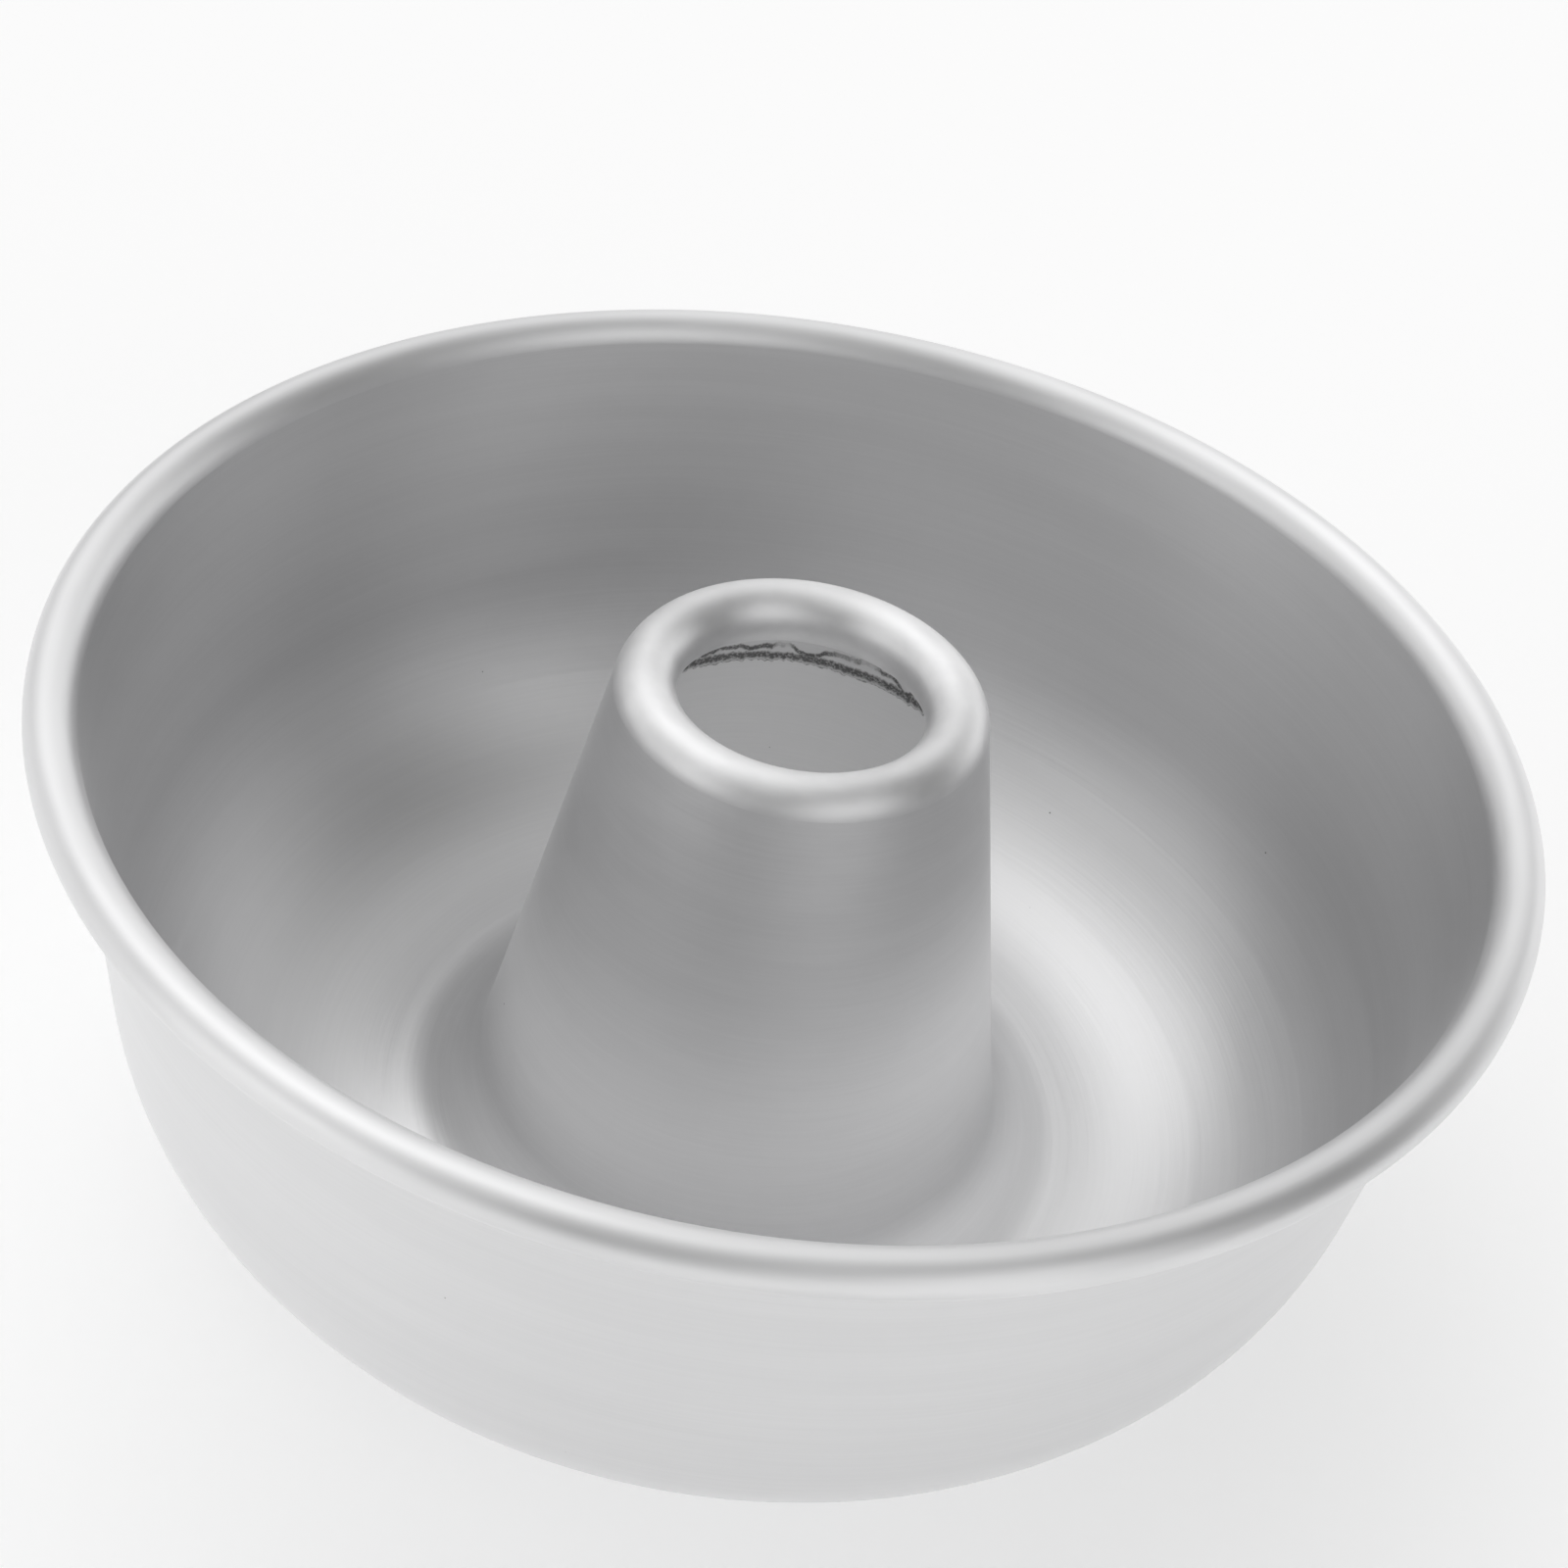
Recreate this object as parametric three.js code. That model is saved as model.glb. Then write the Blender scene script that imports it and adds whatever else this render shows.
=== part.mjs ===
// A round doughnut cake pan, spun from one aluminium sheet, in millimetres with +Z up.
// The sheet runs from the cut edge under the rolled rim, down the side wall, round the
// shoulder to the base, up the foot and the centre tube, over the tube's lip, and ends
// in a hem pressed against the inside of the tube. Each forming zone of the sheet is a
// mesh of its own, and neighbouring zones meet face to face across the sheet.

import * as THREE from "three";

// Sheet and rolled rim
const sheetThickness = 1;
const rimDiameter = 200;
const panHeight = 79;
const rimBeadRadius = 2.7;
const rimRollRadius = 3.9;
const rimEdgeGap = 0.5;

// Side wall, and the flat ring that the pan stands on
const wallLean = THREE.MathUtils.degToRad(5.3);
const baseRingWidth = 3;

// Centre tube: its foot, its lip and the hem inside it
const tubeHeight = 80.2;
const tubeLean = THREE.MathUtils.degToRad(11);
const footRadius = 11.5;
const lipDiameter = 42.3;
const lipRadius = 4.3;
const hemBendRadius = 5;
const hemLength = 4;
const hemClearance = 0.3;

// Facets: steps round the pan, and the most that a facet of a bend may stray from its arc
const stepsRound = 64;
const facetError = 0.12;

const rightAngle = Math.PI / 2;
const halfTurn = Math.PI;

// A place in the section through the axis: x is the distance from the axis, y the height.
const place = (radius, height) => new THREE.Vector2(radius, height);
const towards = (angle) => place(Math.cos(angle), Math.sin(angle));
const away = (centre, radius, angle) => towards(angle).multiplyScalar(radius).add(centre);

// A stretch of sheet is a row of point pairs: one on the cake side, one on the under side.
const first = (stretch) => stretch[0];
const last = (stretch) => stretch[stretch.length - 1];

function bend(centre, cakeRadius, underRadius, fromAngle, toAngle) {
  const largestStep = 2 * Math.acos(1 - facetError / Math.max(cakeRadius, underRadius));
  const steps = Math.ceil(Math.abs(toAngle - fromAngle) / largestStep);
  const pairs = [];
  for (let step = 0; step <= steps; step += 1) {
    const angle = THREE.MathUtils.lerp(fromAngle, toAngle, step / steps);
    pairs.push({ cake: away(centre, cakeRadius, angle), under: away(centre, underRadius, angle) });
  }
  return pairs;
}

// The rim's outer bead and the wider roll inside it share the highest line of the rim.
const rimCentreRadius = rimDiameter / 2 - rimBeadRadius;
const beadCentre = place(rimCentreRadius, panHeight - rimBeadRadius);
const rollCentre = place(rimCentreRadius, panHeight - rimRollRadius);
const rimRoll = bend(
  rollCentre, rimRollRadius, rimRollRadius - sheetThickness, rightAngle, halfTurn - wallLean);

// The side wall runs on straight from the roll.
const wallNormal = towards(-wallLean);
const wallTop = last(rimRoll);
const wallFace = wallTop.under.dot(wallNormal);

// The bead curls under until its cut edge comes as near to the wall as the gap there allows,
// or to the bead's own nearest point if that is farther off.
const wallToBead = beadCentre.dot(wallNormal) - wallFace;
const edgeReach = Math.min(1, (wallToBead - rimEdgeGap) / rimBeadRadius);
const edgeAngle = -wallLean - halfTurn + Math.acos(edgeReach);
const bead = bend(
  beadCentre, rimBeadRadius, rimBeadRadius - sheetThickness, edgeAngle, rightAngle);

// The lip rolls inwards over the top of the tube, which widens below it.
const tubeNormal = towards(tubeLean);
const lipCentre = place(lipDiameter / 2, tubeHeight - lipRadius);
const tubeFace = lipCentre.dot(tubeNormal) + lipRadius;

// The foot touches the base and the tube.
const footHeight = sheetThickness + footRadius;
const footCentreRadius = (tubeFace + footRadius - footHeight * tubeNormal.y) / tubeNormal.x;
const footCentre = place(footCentreRadius, footHeight);
const foot = bend(
  footCentre, footRadius, footRadius + sheetThickness, -rightAngle, tubeLean - halfTurn);

// The shoulder begins where the flat ring ends, and is as round as reaching the wall takes.
const shoulderCentreRadius = footCentreRadius + baseRingWidth;
const shoulderRadius =
  (wallFace - shoulderCentreRadius * wallNormal.x) / (1 + wallNormal.y);
const shoulderCentre = place(shoulderCentreRadius, shoulderRadius);
const shoulderTurn = rightAngle - wallLean;
function shoulderZone(fromShare, toShare) {
  const fromAngle = -wallLean - shoulderTurn * fromShare;
  const toAngle = -wallLean - shoulderTurn * toShare;
  return bend(shoulderCentre, shoulderRadius - sheetThickness, shoulderRadius, fromAngle, toAngle);
}
const upperShoulder = shoulderZone(0, 1 / 3);
const middleShoulder = shoulderZone(1 / 3, 2 / 3);
const lowerShoulder = shoulderZone(2 / 3, 1);

// The lip turns until a bend the other way can lay the hem along the inside of the tube.
const lipToHem = lipRadius - 2 * sheetThickness - hemClearance;
const hemReach = (lipToHem - hemBendRadius) / (lipRadius + hemBendRadius);
const lipEndAngle = tubeLean + 2 * halfTurn - Math.acos(hemReach);
const lipRise = bend(lipCentre, lipRadius, lipRadius - sheetThickness, tubeLean, rightAngle);
const lipFall = bend(lipCentre, lipRadius, lipRadius - sheetThickness, rightAngle, lipEndAngle);
const lip = [...lipRise, ...lipFall.slice(1)];
const hemBendCentre = away(lipCentre, lipRadius + hemBendRadius, lipEndAngle);
const hemBend = bend(
  hemBendCentre, hemBendRadius, hemBendRadius + sheetThickness, lipEndAngle - halfTurn, tubeLean);
const hemTop = last(hemBend);
const hemEnd = {
  cake: away(hemTop.cake, hemLength, tubeLean - rightAngle),
  under: away(hemTop.under, hemLength, tubeLean - rightAngle),
};

// The spun finish: pale satin aluminium, brighter where a roller burnished it.
function satinAluminium(colour, roughness) {
  return new THREE.MeshStandardMaterial({ color: colour, metalness: 1, roughness });
}

// One zone of the sheet, turned about the pan's axis.
function zone(name, stretch, material) {
  const cakeSide = stretch.map((pair) => pair.cake);
  const underSide = stretch.map((pair) => pair.under).reverse();
  const outline = [...cakeSide, ...underSide, first(cakeSide)];
  const geometry = new THREE.LatheGeometry(outline, stepsRound).rotateX(rightAngle);
  const mesh = new THREE.Mesh(geometry, material);
  mesh.name = name;
  return mesh;
}

const pan = new THREE.Group();
pan.add(
  zone("rim_curl", [...bead, ...rimRoll.slice(1)], satinAluminium(0xd2d2d3, 0.32)),
  zone("side_wall", [wallTop, first(upperShoulder)], satinAluminium(0xc6c6c7, 0.4)),
  zone("upper_shoulder", upperShoulder, satinAluminium(0xc8c8c9, 0.38)),
  zone("middle_shoulder", middleShoulder, satinAluminium(0xc8c8c9, 0.38)),
  zone("lower_shoulder", lowerShoulder, satinAluminium(0xc8c8c9, 0.38)),
  zone("base_ring", [last(lowerShoulder), first(foot)], satinAluminium(0xc2c2c3, 0.42)),
  zone("tube_foot", foot, satinAluminium(0xc2c2c3, 0.42)),
  zone("centre_tube", [last(foot), first(lip)], satinAluminium(0xc0c0c1, 0.42)),
  zone("tube_lip", lip, satinAluminium(0xd2d2d3, 0.32)),
  zone("lip_hem", [...hemBend, hemEnd], satinAluminium(0xa8a8a9, 0.48)),
);

export default pan;
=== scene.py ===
import math

import bmesh
import bpy
from mathutils import Matrix, Vector, noise


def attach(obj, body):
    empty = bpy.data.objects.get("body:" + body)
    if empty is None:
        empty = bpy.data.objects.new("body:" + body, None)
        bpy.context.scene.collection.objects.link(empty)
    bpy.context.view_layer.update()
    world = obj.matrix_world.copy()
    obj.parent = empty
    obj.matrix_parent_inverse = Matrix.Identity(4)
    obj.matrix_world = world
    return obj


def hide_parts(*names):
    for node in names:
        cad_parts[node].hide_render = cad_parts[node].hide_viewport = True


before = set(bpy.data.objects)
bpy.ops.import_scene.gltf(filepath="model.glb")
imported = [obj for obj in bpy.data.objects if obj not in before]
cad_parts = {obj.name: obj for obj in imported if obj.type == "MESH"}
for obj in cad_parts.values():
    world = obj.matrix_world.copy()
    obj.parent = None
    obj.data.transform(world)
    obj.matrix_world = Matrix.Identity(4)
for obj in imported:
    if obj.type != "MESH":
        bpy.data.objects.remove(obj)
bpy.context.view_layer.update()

# Sizes of the sheet, in metres and radians, as in the solids
SHEET = 0.001
RIM_RADIUS = 0.1
PAN_HEIGHT = 0.079
BEAD_RADIUS = 0.0027
ROLL_RADIUS = 0.0039
RIM_EDGE_GAP = 0.0005
WALL_LEAN = math.radians(5.3)
BASE_RING_WIDTH = 0.003
TUBE_HEIGHT = 0.0802
TUBE_LEAN = math.radians(11)
FOOT_RADIUS = 0.0115
LIP_CENTRE_RADIUS = 0.02115
LIP_RADIUS = 0.0043
HEM_BEND_RADIUS = 0.005
HEM_LENGTH = 0.004
HEM_CLEARANCE = 0.0003

# The hem's torn edge: how far it strays along the tube, and how far it curls off it
TEAR_DEPTH = 0.0011
TEAR_CURL = 0.0003

# How finely the sheet is turned: steps round the pan and round the hem, steps of a bend,
# a short first and last step that keeps the shading of neighbouring zones in line,
# and steps along the straight runs
STEPS_ROUND = 192
HEM_STEPS_ROUND = 480
BEND_STEP = math.radians(4)
END_STEP = math.radians(0.25)
WALL_STEPS = 24
RING_STEPS = 6
TUBE_STEPS = 30
HEM_STEPS = 16

# Edges that turn more than this stay sharp in the shading
SHARP_ANGLE = math.radians(40)

# Camera, fitted to the outlines of the pan
CAMERA_DISTANCE = 0.3946
CAMERA_ELEVATION = math.radians(46.04)
CAMERA_ROLL = math.radians(10.22)
CAMERA_AIM = Vector((-0.0004, 0.0, 0.0617))
CAMERA_LENS = 59.1
CAMERA_SENSOR = 36.0

# The studio's glows, each with its azimuth and elevation in degrees and its brightness,
# and how quickly a glow fades out to its sides
GLOWS = (
    (14, 5, 0.65),
    (130, 5, 1.0),
    (173, 5, 0.85),
    (230, 5, 0.3),
    (259, 5, 0.72),
    (307, 5, 1.2),
    (47, 25, 0.85),
    (206, 55, 1.45),
    (65, 65, 0.2),
    (295, 65, 0.6),
)
GLOW_TIGHTNESS = 8

# The floor: half its width in metres, how pale it is, and how much it glows by itself
FLOOR_REACH = 30
FLOOR_TONE = (0.9, 0.9, 0.9, 1)
FLOOR_GLOW = 0.32

# Marks that spinning leaves: fine lines, rings and broad bands a pitch apart, and rare pits
LINE_PITCH = 0.00042
RING_PITCH = 0.0011
BAND_PITCH = 0.006
PIT_SPACING = 0.011
PIT_SIZE = 0.00018
GRAIN_SIZE = 0.0003

# The rings are deepest low in the trough and fade out between these heights
DEEP_BELOW = 0.012
SHALLOW_ABOVE = 0.04

# The sheen is drawn out across the lines, a quarter turn from the way they run
SHEEN_STRETCH = 0.8
SHEEN_TURN = 0.25

# Colours: each finish goes from its darker tone to its paler one
SHEET_DARKER = (0.78, 0.78, 0.785, 1)
SHEET_PALER = (0.815, 0.815, 0.82, 1)
PIT_TONE = (0.12, 0.12, 0.12, 1)
ROLL_DARKER = (0.8, 0.8, 0.805, 1)
ROLL_PALER = (0.86, 0.86, 0.865, 1)
HEM_DARKER = (0.72, 0.72, 0.725, 1)
HEM_PALER = (0.82, 0.82, 0.825, 1)
# The dark lines on the hem: painted shade in its crevices, with some dirt
SHADE_AND_SOIL_TONE = (0.24, 0.24, 0.24, 1)

# Dark lines on the hem, painted shade in its crevices with some dirt: distance from the cut edge and
# width, and how far they are jagged
BAND_DISTANCE = 0.0017
BAND_WIDTH = 0.00095
EDGE_DISTANCE = 0.0004
EDGE_WIDTH = 0.0005
CREASE_DISTANCE = 0.0074
CREASE_STRAY = -0.008
CREASE_WIDTH = 0.0007
JAG_REACH = 0.0012

FULL_TURN = 2 * math.pi
HALF_TURN = math.pi
RIGHT_ANGLE = math.pi / 2


def seen_from_pan(azimuth, elevation):
    """A direction; azimuth in degrees from the camera's side, towards its right."""
    around = math.radians(azimuth)
    lift = math.radians(elevation)
    level = math.cos(lift)
    return Vector((math.sin(around) * level, -math.cos(around) * level, math.sin(lift)))


class Value:
    """A number that changes over a surface: sums with it add Math nodes to its finish."""

    def __init__(self, finish, socket):
        self.finish = finish
        self.socket = socket

    def __add__(self, other):
        return self.finish.math("ADD", self, other)

    def __radd__(self, other):
        return self.finish.math("ADD", other, self)

    def __sub__(self, other):
        return self.finish.math("SUBTRACT", self, other)

    def __rsub__(self, other):
        return self.finish.math("SUBTRACT", other, self)

    def __mul__(self, other):
        return self.finish.math("MULTIPLY", self, other)

    def __truediv__(self, other):
        return self.finish.math("DIVIDE", self, other)

    def __abs__(self):
        return self.finish.math("ABSOLUTE", self)


class Nodes:
    """The nodes of a material or of the surround, which all come from one method."""

    def __init__(self, tree):
        self.tree = tree

    def feed(self, socket, value):
        if isinstance(value, Value):
            self.tree.links.new(value.socket, socket)
        else:
            socket.default_value = value

    def node(self, kind, settings, sockets):
        node = self.tree.nodes.new(kind)
        for name, setting in settings.items():
            setattr(node, name, setting)
        for name, value in sockets.items():
            self.feed(node.inputs[name], value)
        return {socket.name: Value(self, socket) for socket in node.outputs if socket.enabled}

    def math(self, operation, *values):
        return self.node("ShaderNodeMath", {"operation": operation}, dict(enumerate(values)))["Value"]

    def ease(self, value, start, end):
        sockets = {"Value": value, "From Min": start, "From Max": end}
        return self.node("ShaderNodeMapRange", {"interpolation_type": "SMOOTHSTEP"}, sockets)["Result"]

    def blend(self, share, start, end):
        return self.node("ShaderNodeMix", {"data_type": "RGBA"}, {0: share, 6: start, 7: end})["Result"]

    def surface(self, shader, sockets):
        for name, value in sockets.items():
            self.feed(self.tree.nodes[shader].inputs[name], value)


class Finish(Nodes):
    """A material."""

    def __init__(self, name):
        self.material = bpy.data.materials.new(name)
        self.material.use_nodes = True
        super().__init__(self.material.node_tree)


class Surround(Nodes):
    """The soft light all round: glows that fade out evenly from where they are brightest."""

    def __init__(self, name):
        self.world = bpy.data.worlds.new(name)
        self.world.use_nodes = True
        super().__init__(self.world.node_tree)
        self.way = self.node("ShaderNodeTexCoord", {}, {})["Generated"]

    def glow(self, azimuth, elevation, brightness):
        sockets = {0: self.way, 1: seen_from_pan(azimuth, elevation)}
        facing = self.node("ShaderNodeVectorMath", {"operation": "DOT_PRODUCT"}, sockets)["Value"]
        return self.math("EXPONENT", (facing - 1) * GLOW_TIGHTNESS) * brightness


class SpunFinish(Finish):
    """Satin aluminium with the rings that spinning leaves, a fine grain and a few pits."""

    def __init__(self, name):
        super().__init__(name)
        self.place = self.node("ShaderNodeTexCoord", {}, {})["Object"]
        parts = self.node("ShaderNodeSeparateXYZ", {}, {"Vector": self.place})
        x, y = parts["X"], parts["Y"]
        self.height = parts["Z"]
        self.radius = self.math("SQRT", x * x + y * y)
        self.right = x / self.radius
        self.back = y / self.radius

    def rings(self, pitch, wander, detail):
        """Rings about the axis, a pitch apart, that fade in and out as they go round."""
        sockets = {"X": self.radius / pitch, "Y": self.height / pitch, "Z": self.right * wander}
        spot = self.node("ShaderNodeCombineXYZ", {}, sockets)["Vector"]
        sockets = {"Vector": spot, "W": self.back * wander, "Scale": 1.0, "Detail": detail}
        return self.node("ShaderNodeTexNoise", {"noise_dimensions": "4D"}, sockets)["Fac"]

    def grain(self, size):
        sockets = {"Vector": self.place, "Scale": 1 / size, "Detail": 2.0}
        return self.node("ShaderNodeTexNoise", {}, sockets)["Fac"]

    def pits(self, spacing, size):
        spots = self.node("ShaderNodeTexVoronoi", {}, {"Vector": self.place, "Scale": 1 / spacing})
        return 1 - self.ease(spots["Distance"], 0.4 * size / spacing, size / spacing)

    def metal(self, colour, roughness, height):
        sockets = {"Strength": 1.0, "Distance": 1.0, "Height": height}
        normal = self.node("ShaderNodeBump", {}, sockets)["Normal"]
        self.surface("Principled BSDF", {
            "Base Color": colour,
            "Roughness": roughness,
            "Metallic": 1.0,
            "Anisotropic": SHEEN_STRETCH,
            "Anisotropic Rotation": SHEEN_TURN,
            "Normal": normal,
        })
        return self.material


def satin_sheet():
    finish = SpunFinish("satin_sheet")
    lines = finish.rings(LINE_PITCH, 2.5, 1.0)
    rings = finish.rings(RING_PITCH, 2.0, 1.0)
    bands = finish.rings(BAND_PITCH, 1.5, 2.0)
    pits = finish.pits(PIT_SPACING, PIT_SIZE)
    shade = finish.ease(bands * 0.6 + lines * 0.4, 0.3, 0.7)
    colour = finish.blend(shade, SHEET_DARKER, SHEET_PALER)
    colour = finish.blend(pits, colour, PIT_TONE)
    low = 1 - finish.ease(finish.height, DEEP_BELOW, SHALLOW_ABOVE)
    spun = rings * (low * 1.6e-5 + 6e-6) + bands * (low * 1.5e-5 + 8e-6) + lines * 1.2e-5
    height = spun + finish.grain(GRAIN_SIZE) * 2e-6 - pits * 4e-5
    return finish.metal(colour, bands * 0.05 + lines * 0.05 + 0.3, height)


def burnished_roll():
    finish = SpunFinish("burnished_roll")
    lines = finish.rings(0.0005, 3.0, 1.0)
    bands = finish.rings(0.003, 4.0, 2.0)
    colour = finish.blend(finish.ease(bands, 0.3, 0.7), ROLL_DARKER, ROLL_PALER)
    height = lines * 6e-6 + finish.grain(GRAIN_SIZE) * 3e-6
    return finish.metal(colour, bands * 0.06 + 0.36, height)


def worked_hem():
    finish = SpunFinish("worked_hem")
    streaks = finish.rings(0.0004, 14.0, 3.0)
    from_edge = finish.node("ShaderNodeAttribute", {"attribute_name": "from_edge"}, {})["Fac"]
    jag = finish.rings(0.02, 45.0, 4.0)
    stray = finish.rings(0.02, 5.0, 2.0)
    speckle = finish.ease(finish.grain(0.00035), 0.3, 0.55)

    def tear(distance, width):
        """A rough dark line, painted shade in a crevice with some dirt, that keeps near one distance
        from the cut edge.
        """
        off = abs(from_edge + jag * JAG_REACH - distance)
        return 1 - finish.ease(off, width * 0.3, width)

    band = tear(BAND_DISTANCE, BAND_WIDTH)
    edge = tear(EDGE_DISTANCE, EDGE_WIDTH) * 0.7
    crease_distance = stray * CREASE_STRAY + CREASE_DISTANCE
    crease = tear(crease_distance, CREASE_WIDTH) * finish.ease(stray, 0.38, 0.5)
    dark = finish.math("MAXIMUM", finish.math("MAXIMUM", band, edge), crease)
    # Painted shade in the hem's crevices, with some dirt, flecked by the speckle
    shade_and_soil = dark * (speckle * 0.6 + 0.4)
    colour = finish.blend(streaks, HEM_DARKER, HEM_PALER)
    colour = finish.blend(shade_and_soil, colour, SHADE_AND_SOIL_TONE)
    height = streaks * 1e-5 - shade_and_soil * 1e-4
    return finish.metal(colour, streaks * 0.1 + shade_and_soil * 0.2 + 0.34, height)


def towards(angle):
    return Vector((math.cos(angle), math.sin(angle)))


def upright(point):
    """A place in the section, as a point in the plane that the section lies in."""
    return Vector((point.x, 0, point.y))


class Sheet:
    """A zone of the sheet: an edge across it that bends and runs, then turns about the axis."""

    def __init__(self, cake, under):
        self.mesh = bmesh.new()
        ends = [self.mesh.verts.new(upright(point)) for point in (cake, under)]
        self.edge = self.mesh.edges.new(ends)

    def bend(self, centre, turn):
        short = math.copysign(END_STEP, turn)
        for part in (short, turn - 2 * short, short):
            steps = max(1, round(abs(part) / BEND_STEP))
            made = bmesh.ops.spin(self.mesh, geom=[self.edge], cent=upright(centre), axis=(0, -1, 0),
                                  angle=part, steps=steps)
            self.edge = [item for item in made["geom_last"] if isinstance(item, bmesh.types.BMEdge)][0]
        return self

    def run(self, direction, length, steps):
        for _ in range(steps):
            made = bmesh.ops.extrude_edge_only(self.mesh, edges=[self.edge])["geom"]
            ends = [item for item in made if isinstance(item, bmesh.types.BMVert)]
            bmesh.ops.translate(self.mesh, verts=ends, vec=upright(towards(direction)) * length / steps)
            self.edge = [item for item in made if isinstance(item, bmesh.types.BMEdge)][0]
        return self

    def turn_round(self, steps=STEPS_ROUND):
        mesh = self.mesh
        inside = [edge for edge in mesh.edges if not edge.is_boundary]
        bmesh.ops.delete(mesh, geom=list(mesh.faces), context="FACES_ONLY")
        bmesh.ops.delete(mesh, geom=inside, context="EDGES")
        outline = list(mesh.verts) + list(mesh.edges)
        bmesh.ops.spin(mesh, geom=outline, cent=(0, 0, 0), axis=(0, 0, 1), angle=FULL_TURN,
                       steps=steps, use_merge=True)
        bmesh.ops.remove_doubles(mesh, verts=mesh.verts, dist=1e-7)
        bmesh.ops.recalc_face_normals(mesh, faces=mesh.faces)
        return mesh


def piece_of(name, mesh, node, finish):
    for face in mesh.faces:
        face.smooth = True
    for edge in mesh.edges:
        edge.smooth = edge.calc_face_angle(0) < SHARP_ANGLE
    data = bpy.data.meshes.new(name)
    mesh.to_mesh(data)
    mesh.free()
    data.materials.append(finish)
    piece = bpy.data.objects.new(name, data)
    bpy.context.scene.collection.objects.link(piece)
    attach(piece, "root")
    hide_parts(node)


# The rolled rim: bead outside, wider roll inside, cut edge tucked under
rim_centre_radius = RIM_RADIUS - BEAD_RADIUS
bead_centre = Vector((rim_centre_radius, PAN_HEIGHT - BEAD_RADIUS))
roll_centre = Vector((rim_centre_radius, PAN_HEIGHT - ROLL_RADIUS))
wall_normal = towards(-WALL_LEAN)
wall_top_angle = HALF_TURN - WALL_LEAN
wall_top_cake = roll_centre + towards(wall_top_angle) * ROLL_RADIUS
wall_top_under = roll_centre + towards(wall_top_angle) * (ROLL_RADIUS - SHEET)
wall_face = wall_top_under.dot(wall_normal)
edge_reach = (bead_centre.dot(wall_normal) - wall_face - RIM_EDGE_GAP) / BEAD_RADIUS
rim_edge_angle = -WALL_LEAN - HALF_TURN + math.acos(min(1, edge_reach))
rim_edge = towards(rim_edge_angle)

# The centre tube: lip, tube and foot
tube_normal = towards(TUBE_LEAN)
lip_centre = Vector((LIP_CENTRE_RADIUS, TUBE_HEIGHT - LIP_RADIUS))
tube_face = lip_centre.dot(tube_normal) + LIP_RADIUS
foot_height = SHEET + FOOT_RADIUS
foot_centre_radius = (tube_face + FOOT_RADIUS - foot_height * tube_normal.y) / tube_normal.x
foot_centre = Vector((foot_centre_radius, foot_height))
foot_top_cake = foot_centre - tube_normal * FOOT_RADIUS
foot_top_under = foot_centre - tube_normal * (FOOT_RADIUS + SHEET)
tube_run = (lip_centre + tube_normal * LIP_RADIUS - foot_top_cake).length

# The shoulder between the flat ring and the wall, in three equal turns
shoulder_centre_radius = foot_centre.x + BASE_RING_WIDTH
shoulder_radius = (wall_face - shoulder_centre_radius * wall_normal.x) / (1 + wall_normal.y)
shoulder_centre = Vector((shoulder_centre_radius, shoulder_radius))
shoulder_turn = (WALL_LEAN - RIGHT_ANGLE) / 3
shoulder_top = shoulder_centre + wall_normal * shoulder_radius
wall_run = (wall_top_under - shoulder_top).length

# The hem inside the lip
lip_to_hem = LIP_RADIUS - 2 * SHEET - HEM_CLEARANCE
hem_reach = (lip_to_hem - HEM_BEND_RADIUS) / (LIP_RADIUS + HEM_BEND_RADIUS)
lip_end_angle = TUBE_LEAN + FULL_TURN - math.acos(hem_reach)
lip_end = towards(lip_end_angle)
hem_bend_centre = lip_centre + lip_end * (LIP_RADIUS + HEM_BEND_RADIUS)
hem_top = hem_bend_centre + tube_normal * HEM_BEND_RADIUS
hem_way = towards(TUBE_LEAN - RIGHT_ANGLE)


def rolled_rim():
    rim = Sheet(bead_centre + rim_edge * BEAD_RADIUS, bead_centre + rim_edge * (BEAD_RADIUS - SHEET))
    rim.bend(bead_centre, RIGHT_ANGLE - rim_edge_angle)
    rim.bend(roll_centre, wall_top_angle - RIGHT_ANGLE)
    return rim.turn_round()


def pan_wall():
    wall = Sheet(wall_top_cake, wall_top_under)
    return wall.run(-RIGHT_ANGLE - WALL_LEAN, wall_run, WALL_STEPS).turn_round()


def shoulder_part(number):
    way = towards(number * shoulder_turn - WALL_LEAN)
    cake = shoulder_centre + way * (shoulder_radius - SHEET)
    under = shoulder_centre + way * shoulder_radius
    return Sheet(cake, under).bend(shoulder_centre, shoulder_turn).turn_round()


def standing_ring():
    ring = Sheet(Vector((shoulder_centre.x, SHEET)), Vector((shoulder_centre.x, 0)))
    return ring.run(HALF_TURN, BASE_RING_WIDTH, RING_STEPS).turn_round()


def tube_flare():
    flare = Sheet(Vector((foot_centre.x, SHEET)), Vector((foot_centre.x, 0)))
    return flare.bend(foot_centre, TUBE_LEAN - RIGHT_ANGLE).turn_round()


def cone_tube():
    tube = Sheet(foot_top_cake, foot_top_under)
    return tube.run(RIGHT_ANGLE + TUBE_LEAN, tube_run, TUBE_STEPS).turn_round()


def rolled_lip():
    lip = Sheet(lip_centre + tube_normal * LIP_RADIUS, lip_centre + tube_normal * (LIP_RADIUS - SHEET))
    return lip.bend(lip_centre, lip_end_angle - TUBE_LEAN).turn_round()


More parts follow.
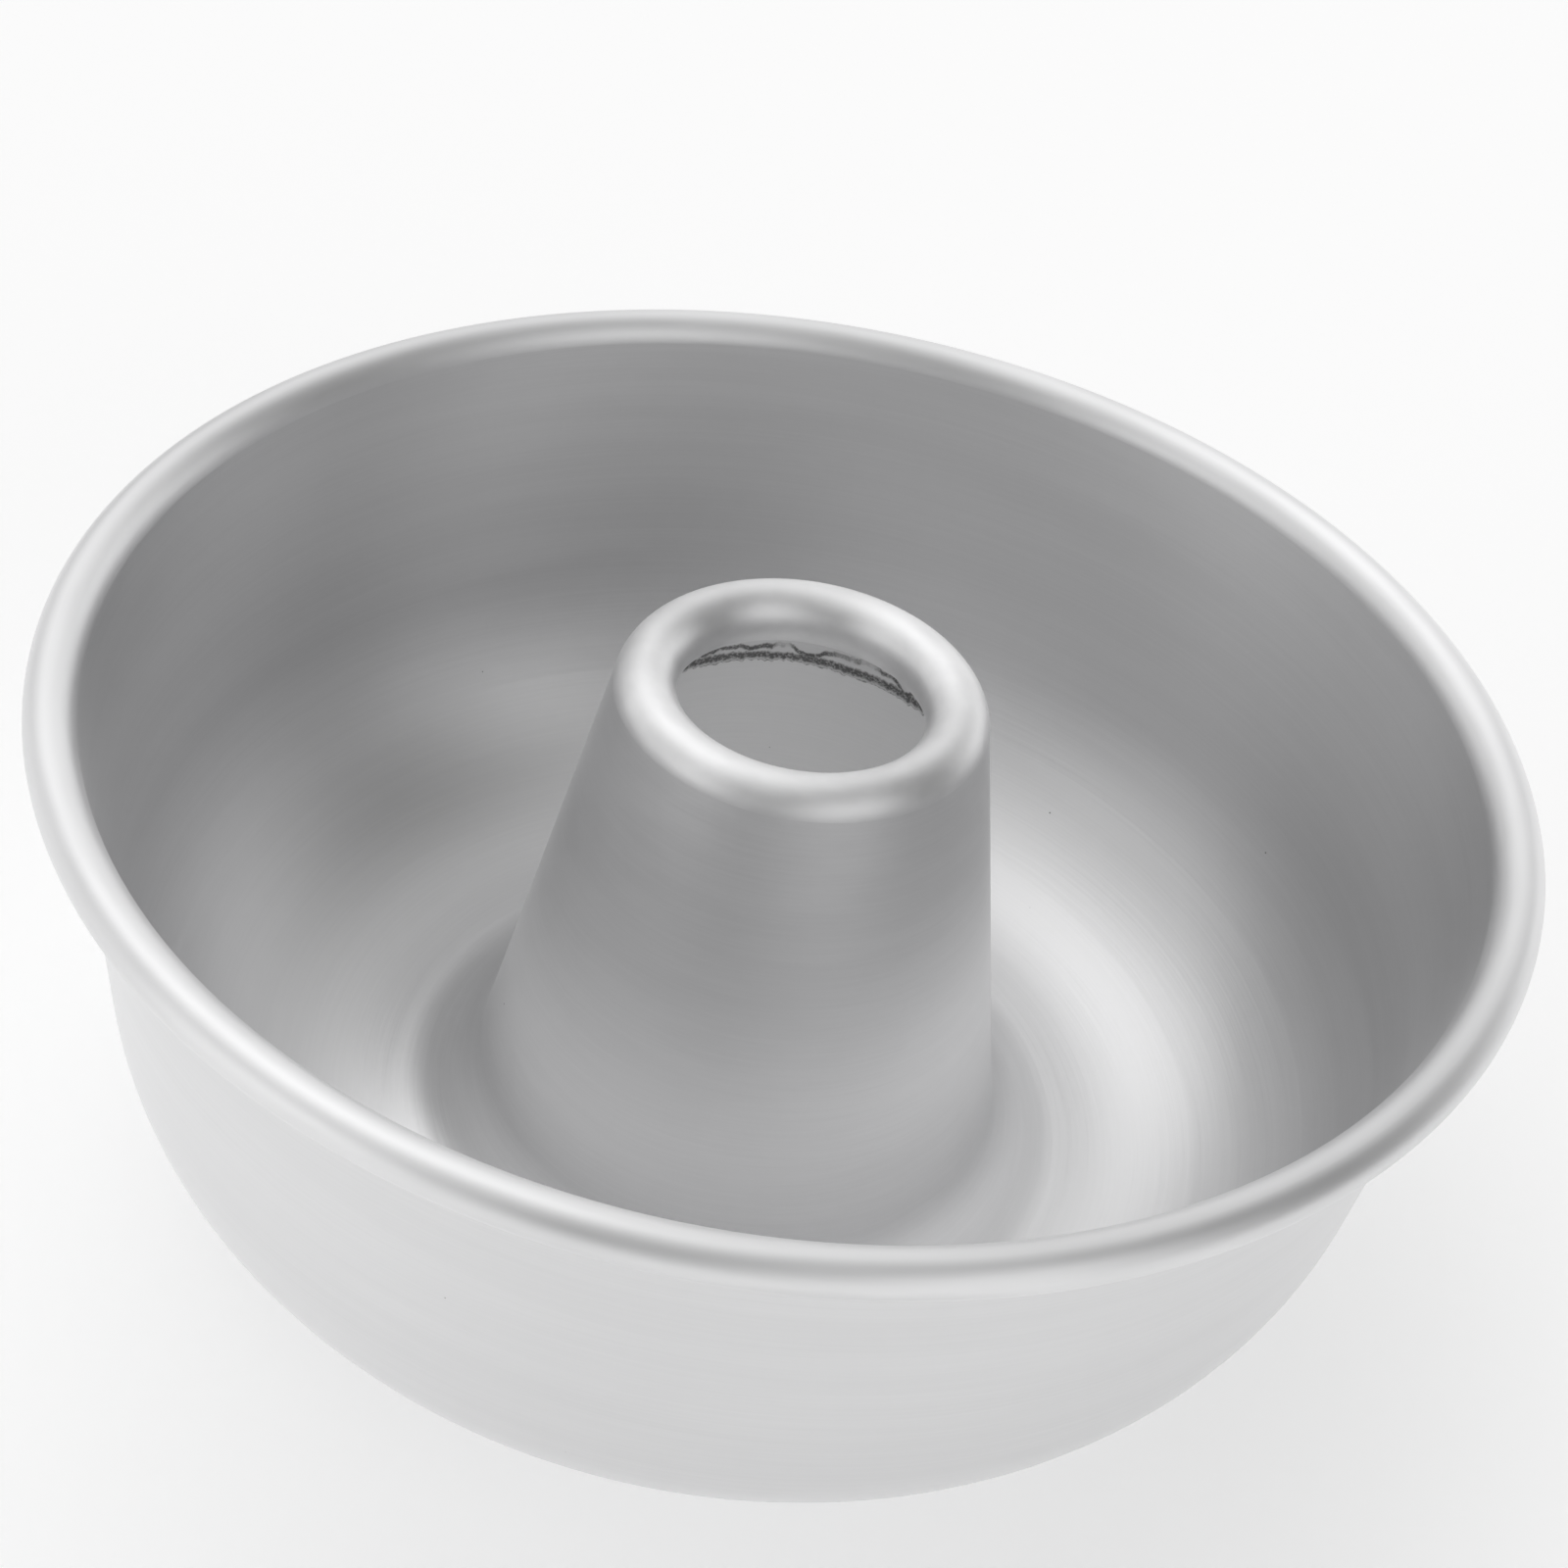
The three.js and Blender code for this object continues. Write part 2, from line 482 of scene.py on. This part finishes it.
def folded_hem():
    """The hem, torn along its cut edge; every point keeps how far it is from that edge."""
    hem = Sheet(lip_centre + lip_end * LIP_RADIUS, lip_centre + lip_end * (LIP_RADIUS - SHEET))
    hem.bend(hem_bend_centre, TUBE_LEAN - (lip_end_angle - HALF_TURN))
    mesh = hem.run(TUBE_LEAN - RIGHT_ANGLE, HEM_LENGTH, HEM_STEPS).turn_round(HEM_STEPS_ROUND)
    from_edge = mesh.verts.layers.float.new("from_edge")
    for point in mesh.verts:
        outward = Vector((point.co.x, point.co.y, 0)).normalized()
        along = (Vector((point.co.xy.length, point.co.z)) - hem_top).dot(hem_way)
        share = min(1, max(0, along / HEM_LENGTH))
        wander = noise.noise(outward * 2.5)
        jag = noise.fractal(outward * 30, 0.6, 2.0, 4)
        tear = (0.6 * wander + 0.5 * jag) * TEAR_DEPTH * share * share
        curl = (0.5 + 0.5 * noise.noise(outward * 11 + Vector((0, 0, 3)))) * TEAR_CURL * share * share
        point[from_edge] = HEM_LENGTH - along
        point.co += (outward * hem_way.x + Vector((0, 0, hem_way.y))) * tear
        point.co -= outward * curl
    return mesh


satin = satin_sheet()
burnished = burnished_roll()
worked = worked_hem()
piece_of("rolled_rim", rolled_rim(), "rim_curl", burnished)
piece_of("pan_wall", pan_wall(), "side_wall", satin)
piece_of("shoulder_top", shoulder_part(0), "upper_shoulder", satin)
piece_of("shoulder_bend", shoulder_part(1), "middle_shoulder", satin)
piece_of("shoulder_bottom", shoulder_part(2), "lower_shoulder", satin)
piece_of("standing_ring", standing_ring(), "base_ring", satin)
piece_of("tube_flare", tube_flare(), "tube_foot", satin)
piece_of("cone_tube", cone_tube(), "centre_tube", satin)
piece_of("rolled_lip", rolled_lip(), "tube_lip", burnished)
piece_of("folded_hem", folded_hem(), "lip_hem", worked)


def photograph():
    data = bpy.data.cameras.new("photograph")
    data.sensor_width = CAMERA_SENSOR
    data.lens = CAMERA_LENS
    place = CAMERA_DISTANCE * Vector((0, -math.cos(CAMERA_ELEVATION), math.sin(CAMERA_ELEVATION)))
    ahead = (CAMERA_AIM - place).normalized()
    right = ahead.cross(Vector((0, 0, 1))).normalized()
    up = right.cross(ahead)
    rolled_right = right * math.cos(CAMERA_ROLL) + up * math.sin(CAMERA_ROLL)
    rolled_up = up * math.cos(CAMERA_ROLL) - right * math.sin(CAMERA_ROLL)
    turned = Matrix((rolled_right, rolled_up, -ahead)).transposed().to_4x4()
    camera = bpy.data.objects.new("photograph", data)
    camera.matrix_world = Matrix.Translation(place) @ turned
    bpy.context.scene.collection.objects.link(camera)
    bpy.context.scene.camera = camera


def floor():
    """A pale table, lit from underneath as well."""
    mesh = bmesh.new()
    bmesh.ops.create_grid(mesh, x_segments=1, y_segments=1, size=FLOOR_REACH)
    data = bpy.data.meshes.new("floor")
    mesh.to_mesh(data)
    mesh.free()
    pale = Finish("pale_floor")
    pale.surface("Principled BSDF", {
        "Base Color": FLOOR_TONE,
        "Roughness": 0.8,
        "Emission Color": (1, 1, 1, 1),
        "Emission Strength": FLOOR_GLOW,
    })
    data.materials.append(pale.material)
    sheet = bpy.data.objects.new("floor", data)
    bpy.context.scene.collection.objects.link(sheet)


def studio():
    surround = Surround("studio")
    glows = [surround.glow(*glow) for glow in GLOWS]
    surround.surface("Background", {"Color": (1, 1, 1, 1), "Strength": sum(glows, 0.0)})
    bpy.context.scene.world = surround.world
    bpy.context.scene.view_settings.view_transform = "Standard"


photograph()
floor()
studio()
